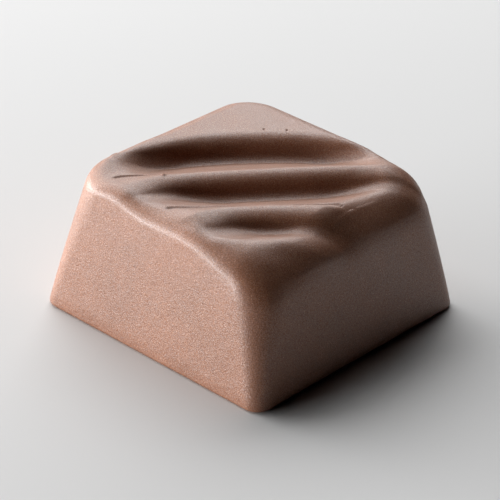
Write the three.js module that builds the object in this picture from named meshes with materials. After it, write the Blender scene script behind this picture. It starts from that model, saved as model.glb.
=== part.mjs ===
// Ganache chocolate: a moulded square praline with three rolling waves across its top.
//
// Millimetres, +Z up, origin at the middle of the flat base. The sides are parallel to X and Y.
// The waves run from corner to corner, so the top is described along its diagonals:
//   across = (x + y) / sqrt 2   along the crests
//   back   = (y - x) / sqrt 2   from the front corner (+X, -Y) to the back corner (-X, +Y)
// The block is one solid. It is described as a field that is negative inside it, and its skin is
// found by casting rays outwards through that field.
import * as THREE from 'three';

// ---- the block
const BASE_HALF = 14.03; // half the side of the base, before its foot is rounded
const WALL_DRAFT = 0.141; // how far a wall leans in for each millimetre of height
const HEIGHT = 14.4; // the flat at the back corner
const CORNER_BASE_R = 1.6; // upright edges, in plan, at the base
const CORNER_TOP_R = 4.3; // and at the top
const CORNER_POWER = 1.27; // most of that change comes near the top
const FOOT_R = 0.4; // round where walls meet the base

// ---- the rim round the waves. A pair holds a left and a right value, as seen from the front corner.
const TOP_HALF = 12.1; // the plan outline that insets are measured from
const TOP_R = 8;
const SIDE_TURN = 3; // left turns into right over this far each side of the middle
const BACK_TURN = 1.5; // the back rims turn into the front ones over this far
// the rim's height and the round of its shoulder, at stations from the back to the front
const RIM_HEIGHTS = {
  at: [3, -1, -4.4, -7.4, -9.3, -11.2, -13, -15.5],
  left: [14.34, 14.13, 14.3, 13.8, 13.7, 14, 13.55, 13.1],
  right: [14.4, 14.1, 13.1, 12.85, 12.85, 12.95, 12.75, 12.35],
};
const SHOULDER_RADII = {
  at: [8, 4.6, 0.3, -4.2, -10],
  left: [1.5, 1.2, 1.3, 1.3, 1.35],
  right: [1.84, 1.28, 3.4, 2.7, 2.4],
};
const NOSE_R = 3.3; // the large round at the front corner
const NOSE_REACH = 4.2;
const NOSE_RISE = { from: -9, over: 3 };
// the insets over which the rim's height gives way to the height of the crests
const LEVEL_FADE = { from: [0.12, 0.03], over: [2.53, 3.33] };
// the insets over which the hollows reach their full depth, at the front rims and at the back rims
const DEPTH_FADE = { from: [-0.02, -0.14], over: [8.21, 7] };
const BACK_FADE = { from: 0.1, over: 4.5 };
const EXIT_SHARE = [0.15, 0.35]; // share of the hollows that runs out over the front rims
const BACK_EXIT_SHARE = [0, 0.3]; // and over the back rims

// ---- the waves: each crest's line in plan, its height, and how far its ends bend forward
const CRESTS = [
  { back: 7.88, tilt: 0, arch: 0.013, middle: 2.82, height: HEIGHT, bend: [0, 0] },
  { back: 0.42, tilt: 0.131, arch: 0.003, middle: 0, height: 14.21, bend: [1.3, 0.07] },
  { back: -6.64, tilt: 0.055, arch: 0.009, middle: 1.5, height: 14.17, bend: [1.2, -0.12] },
  { back: -11.7, tilt: 0, arch: -0.007, middle: 0, height: 13.45, bend: [0, 0] },
];
const BEND_REACH = 5.34; // inset where a crest starts to bend
const DROPS = [1.99, 1.87, 1.85]; // depth of each hollow below the crest behind it
const FACE_R = 1.95; // the round that rolls over each crest
const HOLLOW_R = 1.45; // the hollow that it runs into
const FLOOR_POWER = 0.89; // how the floor gathers towards the next crest
const SHORTEST_FLOOR = 0.5;
const CREST_BLUR = 0.1; // softness of the crests
const NOSE_BLUR = 0.44; // softness near the front corner
const NOSE_FROM = -8.5;
const NOSE_OVER = 2.5;

// ---- how finely the skin is faceted
const ROWS = 56;
const COLUMNS = 26;
const SHOULDER_RINGS = 5;
const WALL_RINGS = 4;
const FOOT_RINGS = 2;
const INNER_HALF = 10.3; // the grid over the top stops at this plan outline
const INNER_R = 3.8;
const TIP_BEND = 0.1; // bend of the first and last grid rows
const TIP_INSET = 0.14;

const ROOT2 = Math.SQRT2;
const clamp = THREE.MathUtils.clamp;
const mix = THREE.MathUtils.lerp;
const smooth = (t) => THREE.MathUtils.smoothstep(t, 0, 1);

/** Signed distance in plan to a square with rounded corners, negative inside. */
function planDistance(x, y, half, radius) {
  const dx = Math.abs(x) - (half - radius);
  const dy = Math.abs(y) - (half - radius);
  const outside = Math.hypot(Math.max(dx, 0), Math.max(dy, 0));
  return outside + Math.min(Math.max(dx, dy), 0) - radius;
}

/** The part common to two half-spaces, with the edge between them rounded. */
function roundedEdge(a, b, radius) {
  if (a <= -radius || b <= -radius) return Math.max(a, b);
  return Math.hypot(a + radius, b + radius) - radius;
}

/** How far a quarter round of this radius has fallen at a distance from its top. */
function roundFall(distance, radius) {
  return radius - Math.sqrt(radius * radius - distance * distance);
}

/** A pair's value: its first over the left half of the top, and its second over the right half. */
function sided([left, right], across) {
  return mix(left, right, smooth((across + SIDE_TURN) / (2 * SIDE_TURN)));
}

/** Runs smoothly through a table's values from the back to the front. */
function eased({ at, left, right }, across, back) {
  let value = sided([left[0], right[0]], across);
  for (let i = 1; i < at.length; i += 1) {
    const step = sided([left[i] - left[i - 1], right[i] - right[i - 1]], across);
    value += step * smooth((at[i - 1] - back) / (at[i - 1] - at[i]));
  }
  return value;
}

function crestBack(crest, across, inset = BEND_REACH) {
  const bow = (across - crest.middle) ** 2 - crest.middle ** 2;
  const bend = sided(crest.bend, across) * smooth((BEND_REACH - inset) / BEND_REACH);
  return crest.back + crest.tilt * across - crest.arch * bow - bend;
}

/** One wave, at a distance in front of its crest: the line to the next crest, and the depth below it. */
function wave(crest, next, drop, distance, spacing) {
  const turn = Math.acos(1 - drop / (FACE_R + HOLLOW_R));
  const faceRun = FACE_R * Math.sin(turn);
  const run = (FACE_R + HOLLOW_R) * Math.sin(turn);
  const length = Math.max(spacing, run + SHORTEST_FLOOR);
  const low = crest.height - drop;
  const along = clamp((distance - run) / (length - run), 0, 1);
  let height = low + (next.height - low) * along ** FLOOR_POWER;
  if (distance < run) height = low + roundFall(run - distance, HOLLOW_R);
  if (distance < faceRun) height = crest.height - roundFall(distance, FACE_R);
  const line = mix(crest.height, next.height, clamp(distance / length, 0, 1));
  return { line, depth: line - height };
}

function waves(across, back, inset) {
  for (let i = DROPS.length - 1; i >= 0; i -= 1) {
    const start = crestBack(CRESTS[i], across, inset);
    if (back < start) {
      const spacing = start - crestBack(CRESTS[i + 1], across, inset);
      return wave(CRESTS[i], CRESTS[i + 1], DROPS[i], start - back, spacing);
    }
  }
  return { line: HEIGHT, depth: 0 };
}

/** The top before its creases are softened: the waves, faded into the rim. */
function sharpTop(across, back) {
  if (back > crestBack(CRESTS[0], across)) return HEIGHT;
  const inset = -planDistance((across - back) / ROOT2, (across + back) / ROOT2, TOP_HALF, TOP_R);
  const { line, depth } = waves(across, back, inset);
  const behind = smooth((back + BACK_TURN) / (2 * BACK_TURN));
  const from = mix(sided(DEPTH_FADE.from, across), BACK_FADE.from, behind);
  const over = mix(sided(DEPTH_FADE.over, across), BACK_FADE.over, behind);
  const exit = mix(sided(EXIT_SHARE, across), sided(BACK_EXIT_SHARE, across), behind);
  const share = mix(exit, 1, smooth((inset - from) / over));
  const inner = smooth((inset - sided(LEVEL_FADE.from, across)) / sided(LEVEL_FADE.over, across));
  return mix(eased(RIM_HEIGHTS, across, back), line, inner) - depth * share;
}

const BLUR = [
  [-1.32, 0.1],
  [-0.66, 0.24],
  [0, 0.32],
  [0.66, 0.24],
  [1.32, 0.1],
];

function topHeight(x, y) {
  const across = (x + y) / ROOT2;
  const back = (y - x) / ROOT2;
  const width = CREST_BLUR + NOSE_BLUR * smooth((NOSE_FROM - back) / NOSE_OVER);
  return BLUR.reduce((sum, [step, weight]) => sum + weight * sharpTop(across, back + step * width), 0);
}

const wallHalf = (z) => BASE_HALF - WALL_DRAFT * z;
const wallCorner = (z) => mix(CORNER_BASE_R, CORNER_TOP_R, clamp(z / HEIGHT, 0, 1) ** CORNER_POWER);

/** The solid as a field: negative inside, zero on the skin. */
function solid(p) {
  const wall = planDistance(p.x, p.y, wallHalf(p.z), wallCorner(p.z)) / Math.hypot(1, WALL_DRAFT);
  const across = (p.x + p.y) / ROOT2;
  const back = (p.y - p.x) / ROOT2;
  const nose = Math.exp(-((across / NOSE_REACH) ** 2)) * smooth((NOSE_RISE.from - back) / NOSE_RISE.over);
  const shoulder = mix(eased(SHOULDER_RADII, across, back), NOSE_R, nose);
  const body = roundedEdge(wall, p.z - topHeight(p.x, p.y), shoulder);
  return roundedEdge(body, -p.z, FOOT_R);
}

/** The point where a ray from inside the solid comes out of it. */
function castRay(origin, direction, reach) {
  let near = 0;
  let far = reach;
  const point = new THREE.Vector3();
  for (let i = 0; i < 40; i += 1) {
    const middle = (near + far) / 2;
    point.copy(origin).addScaledVector(direction, middle);
    if (solid(point) < 0) near = middle;
    else far = middle;
  }
  return point.copy(origin).addScaledVector(direction, near);
}

// ---- the grid over the top: its rows follow the crests and bend round the two tips
const TIP = ROOT2 * INNER_HALF - INNER_R * (ROOT2 - 1) - TIP_INSET;
const ROW_GUIDES = [
  { back: -TIP, tilt: 0, arch: -TIP_BEND, middle: 0 },
  { back: -11.2, tilt: 0, arch: -0.01, middle: 0 },
  CRESTS[2],
  CRESTS[1],
  CRESTS[0],
  { back: 11.2, tilt: 0, arch: 0.01, middle: 0 },
  { back: TIP, tilt: 0, arch: TIP_BEND, middle: 0 },
];

/** A grid row's guide: blended from the two guides that it lies between. */
function rowGuide(back) {
  const next = clamp(ROW_GUIDES.findIndex((guide) => guide.back >= back), 1, ROW_GUIDES.length - 1);
  const [a, b] = [ROW_GUIDES[next - 1], ROW_GUIDES[next]];
  const t = clamp((back - a.back) / (b.back - a.back), 0, 1);
  return {
    back,
    tilt: mix(a.tilt, b.tilt, t),
    arch: mix(a.arch, b.arch, t),
    middle: mix(a.middle, b.middle, t),
    bend: [0, 0],
  };
}

function insideGrid(row, across) {
  const back = crestBack(row, across);
  return planDistance((across - back) / ROOT2, (across + back) / ROOT2, INNER_HALF, INNER_R) < 0;
}

/** How far a row runs to one side (sign -1 or 1) before it leaves the grid's outline. */
function rowEnd(row, sign) {
  const stride = 0.25;
  let near = 0;
  while (insideGrid(row, sign * (near + stride))) near += stride;
  let far = near + stride;
  for (let i = 0; i < 40; i += 1) {
    const middle = (near + far) / 2;
    if (insideGrid(row, sign * middle)) near = middle;
    else far = middle;
  }
  return sign * near;
}

/** Rows lie closer together near the crests and near the tips. */
function rowStations() {
  const fine = 4000;
  const hump = (distance) => Math.exp(-(distance ** 2));
  const density = (back) => {
    const crests = CRESTS.slice(0, 3).map((crest) => 1.6 * hump((back - crest.back + 0.3) / 0.8));
    return crests.reduce((sum, value) => sum + value, 1) + 0.8 * hump(Math.abs(back) - TIP);
  };
  const total = [0];
  for (let i = 1; i <= fine; i += 1) {
    total.push(total[i - 1] + density(mix(-TIP, TIP, (i - 0.5) / fine)));
  }
  const stations = [];
  let i = 0;
  for (let row = 0; row <= ROWS; row += 1) {
    const wanted = (total[fine] * row) / ROWS;
    while (i < fine && total[i + 1] < wanted) i += 1;
    const part = i < fine ? (wanted - total[i]) / (total[i + 1] - total[i]) : 0;
    stations.push(mix(-TIP, TIP, (i + part) / fine));
  }
  return stations;
}

function skinGeometry() {
  const points = [];
  const triangles = [];
  const quad = (a, b, c, d) => triangles.push(a, b, c, a, c, d);
  const up = new THREE.Vector3(0, 0, 1);

  // the top
  const at = (row, column) => row * (COLUMNS + 1) + column;
  for (const station of rowStations()) {
    const row = rowGuide(station);
    const [left, right] = [rowEnd(row, -1), rowEnd(row, 1)];
    for (let column = 0; column <= COLUMNS; column += 1) {
      const across = mix(left, right, column / COLUMNS);
      const back = crestBack(row, across);
      const origin = new THREE.Vector3((across - back) / ROOT2, (across + back) / ROOT2, HEIGHT / 2);
      points.push(castRay(origin, up, HEIGHT));
    }
  }
  for (let row = 0; row < ROWS; row += 1) {
    for (let column = 0; column < COLUMNS; column += 1) {
      quad(at(row, column), at(row, column + 1), at(row + 1, column + 1), at(row + 1, column));
    }
  }

  // the border of the top, counter-clockwise from the left end of the front row
  const border = [];
  for (let column = 0; column < COLUMNS; column += 1) border.push(at(0, column));
  for (let row = 0; row < ROWS; row += 1) border.push(at(row, COLUMNS));
  for (let column = COLUMNS; column > 0; column -= 1) border.push(at(ROWS, column));
  for (let row = ROWS; row > 0; row -= 1) border.push(at(row, 0));

  const outward = border.map((index) => {
    const { x, y } = points[index];
    const step = 0.001;
    const slope = (dx, dy) =>
      planDistance(x + dx, y + dy, INNER_HALF, INNER_R) - planDistance(x - dx, y - dy, INNER_HALF, INNER_R);
    return new THREE.Vector3(slope(step, 0), slope(0, step), 0).normalize();
  });

  // rings of points from the border down to the base
  let previous = border;
  const addRing = (pointOf) => {
    const ring = border.map((_, i) => points.push(pointOf(i)) - 1);
    ring.forEach((_, i) => {
      const next = (i + 1) % ring.length;
      quad(previous[i], ring[i], ring[next], previous[next]);
    });
    previous = ring;
  };
  const below = border.map((index) => points[index].clone().addScaledVector(up, -2));
  for (let k = 1; k <= SHOULDER_RINGS; k += 1) {
    const angle = ((Math.PI / 2) * k) / SHOULDER_RINGS;
    addRing((i) => {
      const rise = up.clone().multiplyScalar(Math.cos(angle));
      return castRay(below[i], rise.addScaledVector(outward[i], Math.sin(angle)), BASE_HALF);
    });
  }
  // down a wall the rays spread, so that each ring keeps its share of points on the upright edges
  const spread = (z) => (wallHalf(z) - wallCorner(z)) / (INNER_HALF - INNER_R);
  for (let k = 1; k <= WALL_RINGS; k += 1) {
    addRing((i) => {
      const z = mix(below[i].z, FOOT_R, k / WALL_RINGS);
      const middle = below[i].clone().addScaledVector(outward[i], -INNER_R);
      const origin = middle.multiplyScalar(mix(1, spread(z), k / WALL_RINGS)).setZ(z);
      return castRay(origin, outward[i], BASE_HALF);
    });
  }
  const footCentre = previous.map((index, i) => points[index].clone().addScaledVector(outward[i], -FOOT_R));
  for (let k = 1; k <= FOOT_RINGS; k += 1) {
    const angle = ((Math.PI / 2) * k) / FOOT_RINGS;
    addRing((i) => {
      const sideways = outward[i].clone().multiplyScalar(Math.cos(angle));
      const point = castRay(footCentre[i], sideways.addScaledVector(up, -Math.sin(angle)), 2 * FOOT_R);
      return k === FOOT_RINGS ? point.setZ(0) : point;
    });
  }

  // the flat base
  const centre = points.push(new THREE.Vector3(0, 0, 0)) - 1;
  previous.forEach((index, i) => triangles.push(centre, previous[(i + 1) % previous.length], index));

  const geometry = new THREE.BufferGeometry().setFromPoints(points);
  geometry.setIndex(triangles);
  geometry.computeVertexNormals();
  return geometry;
}

const milkChocolate = new THREE.MeshStandardMaterial({ color: 0x8a5f4e, roughness: 0.45, metalness: 0 });
const chocolate = new THREE.Mesh(skinGeometry(), milkChocolate);
chocolate.name = 'chocolate';

const part = new THREE.Group();
part.add(chocolate);

export default part;
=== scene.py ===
"""Ganache chocolate: a moulded square praline with three rolling waves across its top.

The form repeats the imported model's formulas on a finer mesh, in millimetres, +Z up:
  across = (x + y) / sqrt 2   along the crests
  back   = (y - x) / sqrt 2   from the front corner (+X, -Y) to the back corner (-X, +Y)
An inset is a distance in plan, inwards from an outline. Values for Blender itself are in metres.
"""
import math
from collections import namedtuple
import bpy
import numpy as np
from mathutils import Matrix, Vector


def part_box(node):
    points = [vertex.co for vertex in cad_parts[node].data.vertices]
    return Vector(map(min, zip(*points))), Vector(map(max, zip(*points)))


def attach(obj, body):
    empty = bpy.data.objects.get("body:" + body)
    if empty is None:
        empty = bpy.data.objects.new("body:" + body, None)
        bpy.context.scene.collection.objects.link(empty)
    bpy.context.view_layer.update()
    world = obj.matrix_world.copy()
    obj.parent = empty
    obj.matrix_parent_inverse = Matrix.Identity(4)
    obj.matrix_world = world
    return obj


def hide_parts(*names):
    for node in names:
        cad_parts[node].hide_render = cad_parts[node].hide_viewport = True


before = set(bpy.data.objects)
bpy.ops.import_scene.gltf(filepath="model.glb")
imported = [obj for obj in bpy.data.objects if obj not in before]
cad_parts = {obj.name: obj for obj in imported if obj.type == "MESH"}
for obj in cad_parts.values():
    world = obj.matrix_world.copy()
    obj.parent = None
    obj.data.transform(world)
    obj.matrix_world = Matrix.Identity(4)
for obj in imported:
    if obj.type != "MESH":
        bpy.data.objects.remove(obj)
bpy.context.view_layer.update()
MM = 0.001
ROOT2 = math.sqrt(2)
UP = np.array([0.0, 0.0, 1.0])

# ---- the block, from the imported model's box
low_corner, high_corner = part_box("chocolate")
WALL_DRAFT = 0.141  # how far a wall leans in for each millimetre of height
FOOT_R = 0.4  # the round along the bottom edge
CORNER_BASE_R, CORNER_TOP_R = 1.6, 4.3  # the upright edges' radii in plan, at the base and the top
CORNER_POWER = 1.27  # above 1, the radius grows faster near the top
HEIGHT = high_corner[2] / MM
FOOT_TOP = FOOT_R * (1 + math.sin(math.atan(WALL_DRAFT)))  # where the foot's round meets the wall
# half the base's side, with the walls run straight down past the foot's round
BASE_HALF = (high_corner[0] - low_corner[0]) / 2 / MM + WALL_DRAFT * FOOT_TOP

# ---- the rim round the waves. A pair holds a left and a right value, as seen from the front corner.
TOP_HALF, TOP_R = 12.1, 8.0  # the plan outline that insets are measured from
SIDE_TURN = 3.0  # left turns into right over this far each side of the middle
BACK_TURN = 1.5  # the back rims turn into the front ones over this far
RIM_AT = (3.0, -1.0, -4.4, -7.4, -9.3, -11.2, -13.0, -15.5)  # stations from the back to the front
RIM_HEIGHTS = (
    (14.34, 14.13, 14.3, 13.8, 13.7, 14, 13.55, 13.1),
    (14.4, 14.1, 13.1, 12.85, 12.85, 12.95, 12.75, 12.35),
)
SHOULDER_AT = (8.0, 4.6, 0.3, -4.2, -10.0)
SHOULDER_RADII = (  # the round between the top and the walls
    (1.5, 1.2, 1.3, 1.3, 1.35),
    (1.84, 1.28, 3.4, 2.7, 2.4),
)
NOSE_R, NOSE_REACH = 3.3, 4.2  # the shoulder's radius at the front corner, and how far it spreads
NOSE_RISE_FROM, NOSE_RISE_OVER = -9.0, 3.0  # it sets in here, and is full this far in front
# a fade starts at its first insets, and takes as long as its second ones
LEVEL_FADE = (0.12, 0.03), (2.53, 3.33)  # from the rim's height to the crests'
DEPTH_FADE = (-0.02, -0.14), (8.21, 7.0)  # from the rim to the hollows' full depth
BACK_FADE = 0.1, 4.5  # the same along the back rims
EXIT_SHARE = 0.15, 0.35  # share of the hollows that runs out over the front rims
BACK_EXIT_SHARE = 0.0, 0.3  # and over the back rims

# ---- the waves: each crest's line in plan, its height, and how far its ends bend forward
Crest = namedtuple("Crest", "back tilt arch middle height bend")
CRESTS = (
    Crest(7.88, 0.0, 0.013, 2.82, HEIGHT, (0.0, 0.0)),
    Crest(0.42, 0.131, 0.003, 0.0, 14.21, (1.3, 0.07)),
    Crest(-6.64, 0.055, 0.009, 1.5, 14.17, (1.2, -0.12)),
    Crest(-11.7, 0.0, -0.007, 0.0, 13.45, (0.0, 0.0)),
)
BEND_REACH = 5.34  # inset where a crest starts to bend
DROPS = (1.99, 1.87, 1.85)  # depth of each hollow below the crest behind it
FACE_R, HOLLOW_R = 1.95, 1.45  # a steep face turns down at the first radius and out at the second
FLOOR_POWER = 0.89  # below 1, a floor rises faster where it leaves its hollow
SHORTEST_FLOOR = 0.5  # where crests run close together
CREST_BLUR, NOSE_BLUR = 0.1, 0.44  # how far creases are softened, and how much further on the nose
NOSE_FROM, NOSE_OVER = -8.5, 2.5  # that sets in here, and is full this far in front
BLUR_TAPS = ((-1.32, 0.1), (-0.66, 0.24), (0, 0.32), (0.66, 0.24), (1.32, 0.1))  # place and weight

# ---- small marks that the mould left. A slot runs between two points (across, back) along a crest.
Slot = namedtuple("Slot", "start end half_start half_end depth")
SLOTS = (
    Slot((-13.1, -1.20), (-8.4, -0.28), 0.30, 0.08, 0.13),
    Slot((-8.2, -6.55), (-2.5, -6.38), 0.32, 0.20, 0.15),
    Slot((-2.5, -6.38), (3.8, -6.06), 0.14, 0.14, 0.05),
    Slot((3.2, -6.06), (7.8, -5.88), 0.12, 0.36, 0.13),
)
SLOT_SOFTNESS = 0.10  # width of its sloping edges
SLOT_END = 0.5  # length of its rounded ends
# a ridge or a seam runs straight between two points (x, y) of the plan
Line = namedtuple("Line", "start end half_width height")
LINES = (
    Line((10.58, -1.30), (10.34, 2.40), 0.11, 0.08),  # flash along the right rim
    Line((10.34, 2.40), (10.38, 5.40), 0.10, 0.05),
    Line((-11.55, -6.40), (-11.20, -7.90), 0.12, 0.16),  # a sliver of flash on the left shoulder
    Line((-11.20, -7.90), (-10.85, -8.90), 0.12, 0.12),
    Line((1.40, -11.05), (3.20, -11.20), 0.08, -0.06),  # a seam along the left shoulder
    Line((3.20, -11.20), (5.60, -11.65), 0.08, -0.06),
    Line((-10.95, -1.60), (-10.88, 4.50), 0.13, -0.14),  # the seam along the flat's left edge
    Line((-10.88, 5.05), (-10.80, 8.70), 0.13, -0.14),  # and on, past a short gap
)
LINE_END = 0.4  # a line fades in and out over this far
# a pinhole or a pimple
Dot = namedtuple("Dot", "x y radius height")
DOTS = (
    Dot(-5.01, 6.65, 0.12, -0.12),
    Dot(-3.35, 8.08, 0.12, -0.12),
    Dot(-5.37, -6.57, 0.17, 0.14),
)

# ---- how finely the skin is meshed
ROWS, COLUMNS = 250, 256
SHOULDER_RINGS, WALL_RINGS, FOOT_RINGS = 14, 10, 4
INNER_HALF, INNER_R = 10.3, 3.8  # the outline of the top's grid in plan, where the rings start
SHOULDER_CENTRE = 2  # the shoulder's rays fan out from this far below the grid's border
TIP_INSET, TIP_BEND = 0.12, 0.1  # the first and last rows: gap to the outline's tips, and arch
OUTER_ROW, OUTER_ARCH = 11.2, 0.01  # the rows between the crests' and the tips'
TIP_CROWDING = 0.8  # rows are closer together by this share at the tips
CREST_CROWDING, CROWDING_REACH = 1.6, 0.8  # and by this share near a crest, over this far
CROWDING_SHIFT = 0.3  # they are densest this far in front of it
FINE_STATIONS = 4001  # places where the rows' crowding is worked out
ROW_STRIDE = 0.25  # a row's end is first looked for in steps as long as this
RAY_HALVINGS, ROW_HALVINGS = 26, 30  # how often the search for a surface or a row's end is halved


# ---------------------------------------------------------------- the form
def smooth(share):
    """An even S from 0 to 1, level before and after."""
    share = np.clip(share, 0, 1)
    return share * share * (3 - 2 * share)


def sided(pair, across):
    """A pair's first value over the left half of the top, and its second over the right half."""
    left, right = pair
    return left + (right - left) * smooth((across + SIDE_TURN) / (2 * SIDE_TURN))


def eased(stations, sides, across, back):
    """Runs smoothly through the values at the stations, from the back to the front."""
    values = list(zip(*sides))
    value = sided(values[0], across)
    for number in range(1, len(stations)):
        step = [after - before for before, after in zip(values[number - 1], values[number])]
        share = smooth((stations[number - 1] - back) / (stations[number - 1] - stations[number]))
        value = value + sided(step, across) * share
    return value


def plan_distance(x, y, half, radius):
    """Signed distance in plan to a square with rounded corners, negative inside."""
    dx = np.abs(x) - (half - radius)
    dy = np.abs(y) - (half - radius)
    outside = np.hypot(np.maximum(dx, 0), np.maximum(dy, 0))
    return outside + np.minimum(np.maximum(dx, dy), 0) - radius


def rounded_edge(first, second, radius):
    """The part common to two half-spaces, with the edge between them rounded."""
    corner = np.hypot(np.maximum(first + radius, 0), np.maximum(second + radius, 0)) - radius
    return np.where((first > -radius) & (second > -radius), corner, np.maximum(first, second))


def round_fall(distance, radius):
    """How far a circle has fallen below its top, at a distance from it."""
    return radius - np.sqrt(np.maximum(radius**2 - distance**2, 0))


def crest_back(crest, across, inset=BEND_REACH):
    bow = (across - crest.middle)**2 - crest.middle**2
    bend = sided(crest.bend, across) * smooth((BEND_REACH - inset) / BEND_REACH)
    return crest.back + crest.tilt * across - crest.arch * bow - bend


def waves(across, back, inset):
    """The line from crest to crest, and how deep the waves are below it."""
    line = 0 * across + HEIGHT
    height = 0 * across + HEIGHT
    for crest, following, drop in zip(CRESTS, CRESTS[1:], DROPS):
        start = crest_back(crest, across, inset)
        distance = start - back
        turn = math.acos(1 - drop / (FACE_R + HOLLOW_R))
        face_run = FACE_R * math.sin(turn)
        run = (FACE_R + HOLLOW_R) * math.sin(turn)
        length = np.maximum(start - crest_back(following, across, inset), run + SHORTEST_FLOOR)
        low = crest.height - drop
        face = crest.height - round_fall(np.clip(distance, 0, face_run), FACE_R)
        hollow = low + round_fall(np.clip(run - distance, 0, run - face_run), HOLLOW_R)
        along = np.clip((distance - run) / (length - run), 0, 1)
        floor = low + (following.height - low) * along**FLOOR_POWER
        wave = np.where(distance < face_run, face, np.where(distance < run, hollow, floor))
        height = np.where(distance > 0, wave, height)
        rise = (following.height - crest.height) * np.clip(distance / length, 0, 1)
        line = np.where(distance > 0, crest.height + rise, line)
    return line, line - height


def sharp_top(across, back):
    """The top before its creases are softened: waves, faded into the rim."""
    x, y = (across - back) / ROOT2, (across + back) / ROOT2
    inset = -plan_distance(x, y, TOP_HALF, TOP_R)
    line, depth = waves(across, back, inset)
    behind = smooth((back + BACK_TURN) / (2 * BACK_TURN))
    start, over = (sided(pair, across) for pair in DEPTH_FADE)
    start = start + (BACK_FADE[0] - start) * behind
    over = over + (BACK_FADE[1] - over) * behind
    at_exit = sided(EXIT_SHARE, across) * (1 - behind) + sided(BACK_EXIT_SHARE, across) * behind
    share = at_exit + (1 - at_exit) * smooth((inset - start) / over)
    rim = eased(RIM_AT, RIM_HEIGHTS, across, back)
    start, over = (sided(pair, across) for pair in LEVEL_FADE)
    level = rim + (line - rim) * smooth((inset - start) / over)
    return np.where(back > crest_back(CRESTS[0], across), HEIGHT, level - depth * share)


def slot_depth(slot, across, back):
    """A shallow slot with soft edges and round ends."""
    (first, first_back), (last, last_back) = slot.start, slot.end
    along = np.clip((across - first) / (last - first), 0, 1)
    off = np.abs(back - first_back - (last_back - first_back) * along)
    half_width = slot.half_start + (slot.half_end - slot.half_start) * along
    end = np.minimum(across - first, last - across)
    half_width = half_width * np.sqrt(np.clip(end / SLOT_END, 0, 1))
    return slot.depth * smooth((half_width - off) / SLOT_SOFTNESS)


def line_height(line, x, y):
    """A thin ridge (or seam, where its height is negative) that fades at its ends."""
    run = (line.end[0] - line.start[0], line.end[1] - line.start[1])
    length = math.hypot(*run)
    along = ((x - line.start[0]) * run[0] + (y - line.start[1]) * run[1]) / length
    off = ((x - line.start[0]) * run[1] - (y - line.start[1]) * run[0]) / length
    ends = smooth(along / LINE_END) * smooth((length - along) / LINE_END)
    return line.height * np.exp(-(off / line.half_width)**2) * ends


def marks(x, y, across, back):
    """Height of the small marks on the top."""
    height = -sum(slot_depth(slot, across, back) for slot in SLOTS)
    height = height + sum(line_height(line, x, y) for line in LINES)
    for dot in DOTS:
        height = height + dot.height * np.exp(-((x - dot.x)**2 + (y - dot.y)**2) / dot.radius**2)
    return height


def top_height(x, y):
    across, back = (x + y) / ROOT2, (y - x) / ROOT2
    width = CREST_BLUR + NOSE_BLUR * smooth((NOSE_FROM - back) / NOSE_OVER)
    soft_top = sum(weight * sharp_top(across, back + place * width) for place, weight in BLUR_TAPS)
    return soft_top + marks(x, y, across, back)


def solid(point):
    """The solid as a field: negative inside, zero on the skin."""
    x, y, z = point[..., 0], point[..., 1], point[..., 2]
    rise = np.clip(z / HEIGHT, 0, 1)**CORNER_POWER
    corner = CORNER_BASE_R + (CORNER_TOP_R - CORNER_BASE_R) * rise
    wall = plan_distance(x, y, BASE_HALF - WALL_DRAFT * z, corner) / math.hypot(1, WALL_DRAFT)
    across, back = (x + y) / ROOT2, (y - x) / ROOT2
    nose = np.exp(-(across / NOSE_REACH)**2) * smooth((NOSE_RISE_FROM - back) / NOSE_RISE_OVER)
    shoulder = eased(SHOULDER_AT, SHOULDER_RADII, across, back)
    shoulder = shoulder + (NOSE_R - shoulder) * nose
    body = rounded_edge(wall, z - top_height(x, y), shoulder)
    return rounded_edge(body, -z, FOOT_R)


def last_inside(is_inside, near, far, halvings):
    """The furthest distances that are inside, between near ones that are and far ones that aren't."""
    for _ in range(halvings):
        middle = (near + far) / 2
        inside = is_inside(middle)
        near = np.where(inside, middle, near)
        far = np.where(inside, far, middle)
    return near


def cast_rays(origins, directions, reach):
    """Where rays from inside the solid come out of it."""
    def place(distance):
        return origins + directions * distance[:, None]

    def is_inside(distance):
        return solid(place(distance)) < 0

    far = np.full(len(origins), float(reach))
    return place(last_inside(is_inside, np.zeros(len(origins)), far, RAY_HALVINGS))


# ---------------------------------------------------------------- the skin
def plain_row(back, arch):
    """A row of the grid that follows no crest."""
    return Crest(back, tilt=0, arch=arch, middle=0, height=0, bend=(0, 0))


TIP = ROOT2 * INNER_HALF - INNER_R * (ROOT2 - 1) - TIP_INSET
GUIDES = (
    plain_row(-TIP, -TIP_BEND),
    plain_row(-OUTER_ROW, -OUTER_ARCH),
    *CRESTS[2::-1],
    plain_row(OUTER_ROW, OUTER_ARCH),
    plain_row(TIP, TIP_BEND),
)


def row_back(station, across):
    """A grid row: it follows the crests, and bends round the two tips."""
    places = [guide.back for guide in GUIDES]
    tilt, arch, middle = (
        np.interp(station, places, [getattr(guide, name) for guide in GUIDES])
        for name in ("tilt", "arch", "middle")
    )
    return station + tilt * across - arch * ((across - middle)**2 - middle**2)


def row_ends(stations, sign):
    """How far each row runs to one side before it first leaves the grid's outline."""
    def is_inside(distance):
        across = sign * distance
        back = row_back(stations, across)
        x, y = (across - back) / ROOT2, (across + back) / ROOT2
        return plan_distance(x, y, INNER_HALF, INNER_R) < 0

    near = np.zeros(len(stations))
    running = np.ones(len(stations), bool)
    while running.any():
        running &= is_inside(near + ROW_STRIDE)
        near[running] += ROW_STRIDE
    return sign * last_inside(is_inside, near, near + ROW_STRIDE, ROW_HALVINGS)


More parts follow.
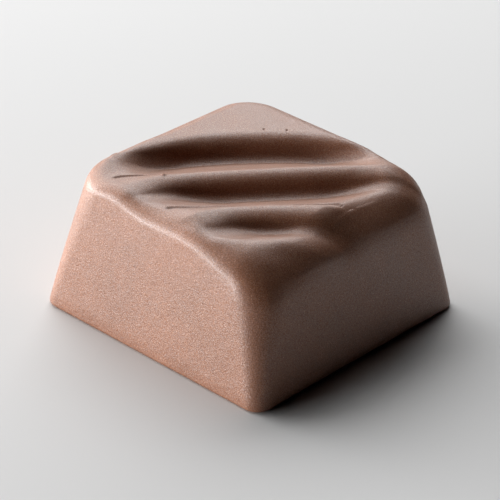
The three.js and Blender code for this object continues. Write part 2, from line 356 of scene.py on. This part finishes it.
def row_stations():
    """Rows lie closer together near the crests and the tips."""
    fine = np.linspace(-TIP, TIP, FINE_STATIONS)
    density = 1 + TIP_CROWDING * np.exp(-(np.abs(fine) - TIP)**2)
    for crest in CRESTS[:3]:
        off = (fine - crest.back + CROWDING_SHIFT) / CROWDING_REACH
        density += CREST_CROWDING * np.exp(-off**2)
    total = np.concatenate([[0], np.cumsum((density[1:] + density[:-1]) / 2)])
    return np.interp(np.linspace(0, total[-1], ROWS + 1), total, fine)


def top_points():
    """The grid's points on the top, row by row from the front to the back."""
    stations = row_stations()
    left, right = row_ends(stations, -1), row_ends(stations, 1)
    across = left[:, None] + (right - left)[:, None] * np.linspace(0, 1, COLUMNS + 1)
    back = row_back(stations[:, None], across)
    plan = np.stack([(across - back) / ROOT2, (across + back) / ROOT2], -1).reshape(-1, 2)
    starts = np.column_stack([plan, np.full(len(plan), HEIGHT / 2)])
    return cast_rays(starts, np.tile(UP, (len(starts), 1)), HEIGHT)


def outward_from(edge):
    """Level directions straight out from the grid's outline."""
    def slope(step_x, step_y):
        x, y = edge[:, 0], edge[:, 1]
        ahead = plan_distance(x + step_x, y + step_y, INNER_HALF, INNER_R)
        return ahead - plan_distance(x - step_x, y - step_y, INNER_HALF, INNER_R)

    step = 1e-3
    outward = np.column_stack([slope(step, 0), slope(0, step), np.zeros(len(edge))])
    return outward / np.linalg.norm(outward, axis=1)[:, None]


def side_rings(edge):
    """Rings of points from the grid's border over the shoulder, down the wall and round the foot."""
    outward = outward_from(edge)
    centre = edge - SHOULDER_CENTRE * UP
    rings = []
    for number in range(1, SHOULDER_RINGS + 1):
        angle = math.pi / 2 * number / SHOULDER_RINGS
        rings.append(cast_rays(centre, outward * math.sin(angle) + UP * math.cos(angle), BASE_HALF))
    for number in range(1, WALL_RINGS + 1):
        level = centre.copy()
        level[:, 2] += (FOOT_R - level[:, 2]) * number / WALL_RINGS
        rings.append(cast_rays(level, outward, BASE_HALF))
    foot = rings[-1] - outward * FOOT_R
    for number in range(1, FOOT_RINGS + 1):
        angle = math.pi / 2 * number / FOOT_RINGS
        rings.append(cast_rays(foot, outward * math.cos(angle) - UP * math.sin(angle), 2 * FOOT_R))
    rings[-1][:, 2] = 0
    return rings


def skin():
    """Vertices in millimetres and faces of the whole block."""
    top = top_points()
    index = np.arange(len(top)).reshape(ROWS + 1, COLUMNS + 1)
    corners = [index[:-1, :-1], index[:-1, 1:], index[1:, 1:], index[1:, :-1]]
    quads = [np.stack(corners, -1).reshape(-1, 4)]
    border = np.concatenate([index[0], index[1:, -1], index[-1, -2::-1], index[-2:0:-1, 0]])
    rings = side_rings(top[border])
    previous = border
    for number in range(len(rings)):
        ring = len(top) + number * len(border) + np.arange(len(border))
        quads.append(np.stack([previous, ring, np.roll(ring, -1), np.roll(previous, -1)], -1))
        previous = ring
    faces = [tuple(quad) for quad in np.concatenate(quads).tolist()]
    faces.append(tuple(previous[::-1].tolist()))
    return np.concatenate([top, *rings]), faces


def make_chocolate(material):
    vertices, faces = skin()
    mesh = bpy.data.meshes.new("chocolate_skin")
    mesh.from_pydata((vertices * MM).tolist(), [], faces)
    mesh.validate()
    mesh.shade_smooth()
    mesh.materials.append(material)
    piece = bpy.data.objects.new("chocolate_skin", mesh)
    bpy.context.collection.objects.link(piece)
    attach(piece, "root")
    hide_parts("chocolate")


# ---------------------------------------------------------------- materials
MILK_CHOCOLATE = (0.244, 0.095, 0.045)
DARK_GRAIN = (0.180, 0.061, 0.027)
PALE_GRAIN = (0.350, 0.156, 0.086)
# pale specks mixed into the base colour: painted glints, lighter spots that stand in for the grain
# catching the light
PAINTED_GLINT_COLOUR = (0.50, 0.26, 0.17)
GRAIN_STOPS = ((0.30, DARK_GRAIN), (0.50, MILK_CHOCOLATE), (0.70, PALE_GRAIN))
ROUGHNESS, GLOSS = 0.47, 0.62
COAT, COAT_ROUGHNESS = 0.18, 0.3
CHOCOLATE_IOR = 1.6

# a ramp turns a noise between start and end into a value from low to high
Ramp = namedtuple("Ramp", "start end low high")
# where the painted glints show in the colour
PAINTED_GLINTS = Ramp(0.66, 0.76, 0, 1)
CLOUDS = Ramp(0.35, 0.65, 0.93, 1.06)
DULLNESS = Ramp(0.3, 0.7, ROUGHNESS - 0.03, ROUGHNESS + 0.03)
GLINTS = Ramp(0.35, 0.65, GLOSS - 0.35, GLOSS + 0.35)

# a noise's cells for each metre, and its finer octaves
Noise = namedtuple("Noise", "scale detail")
# the speck noise places the painted glints
GRAIN_NOISE, PAINTED_GLINT_NOISE, GLINT_NOISE = Noise(9500, 2), Noise(8000, 1), Noise(10500, 1)
CLOUD_NOISE, DULL_NOISE = Noise(260, 3), Noise(260, 2)

# relief too small to mesh: a faint unevenness of the skin, and the grain itself
Relief = namedtuple("Relief", "noise strength height")
UNEVENNESS = Relief(Noise(900, 2), 0.5, 0.00006)
GRAIN_RELIEF = Relief(Noise(10500, 3), 1.0, 0.00004)

FLOOR_COLOUR, FLOOR_ROUGHNESS, FLOOR_GLOSS = (0.7, 0.7, 0.7, 1), 0.9, 0.1

MIX_SHARE, MIX_FIRST, MIX_SECOND, MIX_RESULT = 0, 6, 7, 2  # a mix node's sockets for colours


def new_material(name):
    material = bpy.data.materials.new(name)
    material.use_nodes = True
    return material, material.node_tree.nodes["Principled BSDF"]


def chocolate_material():
    material, shader = new_material("milk_chocolate")
    nodes, links = material.node_tree.nodes, material.node_tree.links
    shader.inputs["IOR"].default_value = CHOCOLATE_IOR
    shader.inputs["Coat Weight"].default_value = COAT
    shader.inputs["Coat Roughness"].default_value = COAT_ROUGHNESS
    place = nodes.new("ShaderNodeTexCoord")

    def noise(kind):
        node = nodes.new("ShaderNodeTexNoise")
        node.inputs["Scale"].default_value = kind.scale
        node.inputs["Detail"].default_value = kind.detail
        links.new(place.outputs["Object"], node.inputs["Vector"])
        return node.outputs["Fac"]

    def colours(kind, stops):
        source = noise(kind)
        node = nodes.new("ShaderNodeValToRGB")
        elements = node.color_ramp.elements
        while len(elements) < len(stops):
            elements.new(0.5)
        for element, (position, colour) in zip(elements, stops):
            element.position = position
            element.color = (*colour, 1)
        links.new(source, node.inputs["Fac"])
        return node.outputs["Color"]

    def values(kind, ramp):
        return colours(kind, ((ramp.start, (ramp.low,) * 3), (ramp.end, (ramp.high,) * 3)))

    def mix(blend, share, first, second):
        node = nodes.new("ShaderNodeMix")
        node.data_type = "RGBA"
        node.blend_type = blend
        for number, value in ((MIX_SHARE, share), (MIX_FIRST, first), (MIX_SECOND, second)):
            if isinstance(value, bpy.types.NodeSocket):
                links.new(value, node.inputs[number])
            else:
                node.inputs[number].default_value = value
        return node.outputs[MIX_RESULT]

    def relief(kind, below=None):
        node = nodes.new("ShaderNodeBump")
        node.inputs["Strength"].default_value = kind.strength
        node.inputs["Distance"].default_value = kind.height
        links.new(noise(kind.noise), node.inputs["Height"])
        if below is not None:
            links.new(below, node.inputs["Normal"])
        return node.outputs["Normal"]

    # colour: fine grain, pale specks that paint in glints of the grain (painted highlights), and
    # broad, faint clouds
    grain = colours(GRAIN_NOISE, GRAIN_STOPS)
    painted_glints = values(PAINTED_GLINT_NOISE, PAINTED_GLINTS)
    clouds = values(CLOUD_NOISE, CLOUDS)
    colour = mix("MIX", painted_glints, grain, (*PAINTED_GLINT_COLOUR, 1))
    links.new(mix("MULTIPLY", 1.0, colour, clouds), shader.inputs["Base Color"])
    links.new(values(DULL_NOISE, DULLNESS), shader.inputs["Roughness"])
    # the grain glints: the gloss changes from grain to grain
    links.new(values(GLINT_NOISE, GLINTS), shader.inputs["Specular IOR Level"])
    links.new(relief(GRAIN_RELIEF, below=relief(UNEVENNESS)), shader.inputs["Normal"])
    return material


def floor_material():
    material, shader = new_material("pale_floor")
    shader.inputs["Base Color"].default_value = FLOOR_COLOUR
    shader.inputs["Roughness"].default_value = FLOOR_ROUGHNESS
    shader.inputs["Specular IOR Level"].default_value = FLOOR_GLOSS
    return material


# ---------------------------------------------------------------- camera, floor and light
CAMERA_TURN = 45 - 2.731  # degrees from -Y towards +X
CAMERA_RISE = 29.747
CAMERA_ROLL = 1.81
CAMERA_DISTANCE = 230.5
CAMERA_AIM = Vector((0, 0, 6))
CAMERA_SHIFT = (-0.214, -0.171)  # along the picture's right and up
FRAME_PIXELS, FOCAL_PIXELS = 500, 2446.7  # the frame's width, and the focal length to match
SENSOR_WIDTH = 36
CLIP_START = 0.01
FLOOR_REACH = 3.0
WORLD_STRENGTH = 0.0  # the softboxes give all the light


def camera_axes():
    """The camera's right, up and backward directions, before it rolls."""
    turn, rise = math.radians(CAMERA_TURN), math.radians(CAMERA_RISE)
    level = math.cos(rise)
    backward = Vector((math.sin(turn) * level, -math.cos(turn) * level, math.sin(rise)))
    right = Vector((math.cos(turn), math.sin(turn), 0))
    return right, backward.cross(right), backward


def make_camera():
    level_right, level_up, backward = camera_axes()
    roll = math.radians(CAMERA_ROLL)
    right = level_right * math.cos(roll) + level_up * math.sin(roll)
    up = level_up * math.cos(roll) - level_right * math.sin(roll)
    place = CAMERA_AIM + backward * CAMERA_DISTANCE + right * CAMERA_SHIFT[0] + up * CAMERA_SHIFT[1]
    data = bpy.data.cameras.new("camera")
    data.sensor_width = SENSOR_WIDTH
    data.lens = FOCAL_PIXELS / FRAME_PIXELS * SENSOR_WIDTH
    data.clip_start = CLIP_START
    camera = bpy.data.objects.new("camera", data)
    bpy.context.collection.objects.link(camera)
    turned = Matrix((right, up, backward)).transposed().to_4x4()
    camera.matrix_world = Matrix.Translation(place * MM) @ turned
    bpy.context.scene.camera = camera


def make_softbox(name, turn, rise, distance, width, height, power):
    """A soft light, in degrees, metres and watts: turn 0 is away from the camera, 90 to its right."""
    right, _, backward = camera_axes()
    away = Vector((-backward.x, -backward.y, 0)).normalized()
    turn, rise = math.radians(turn), math.radians(rise)
    level = away * math.cos(turn) + right * math.sin(turn)
    towards = level * math.cos(rise) + Vector((0, 0, math.sin(rise)))
    data = bpy.data.lights.new(name, "AREA")
    data.shape = "RECTANGLE"
    data.size, data.size_y, data.energy = width, height, power
    light = bpy.data.objects.new(name, data)
    bpy.context.collection.objects.link(light)
    light.location = Vector((0, 0, HEIGHT * MM / 2)) + towards * distance
    light.rotation_euler = towards.to_track_quat("Z", "Y").to_euler()


def make_floor():
    low, high = -FLOOR_REACH, FLOOR_REACH
    mesh = bpy.data.meshes.new("floor")
    corners = [(low, low, 0), (high, low, 0), (high, high, 0), (low, high, 0)]
    mesh.from_pydata(corners, [], [(0, 1, 2, 3)])
    mesh.materials.append(floor_material())
    floor = bpy.data.objects.new("floor", mesh)
    bpy.context.collection.objects.link(floor)


def make_world():
    world = bpy.data.worlds.new("studio")
    world.use_nodes = True
    background = world.node_tree.nodes["Background"]
    background.inputs["Color"].default_value = (1, 1, 1, 1)
    background.inputs["Strength"].default_value = WORLD_STRENGTH
    bpy.context.scene.world = world


make_camera()
make_chocolate(chocolate_material())
make_floor()
make_world()
make_softbox("left_softbox", turn=-84, rise=3.4, distance=0.5, width=0.86, height=0.10, power=8.2)
make_softbox("back_softbox", turn=-25, rise=41, distance=0.5, width=0.76, height=0.45, power=4.7)
bpy.context.scene.view_settings.view_transform = "Standard"
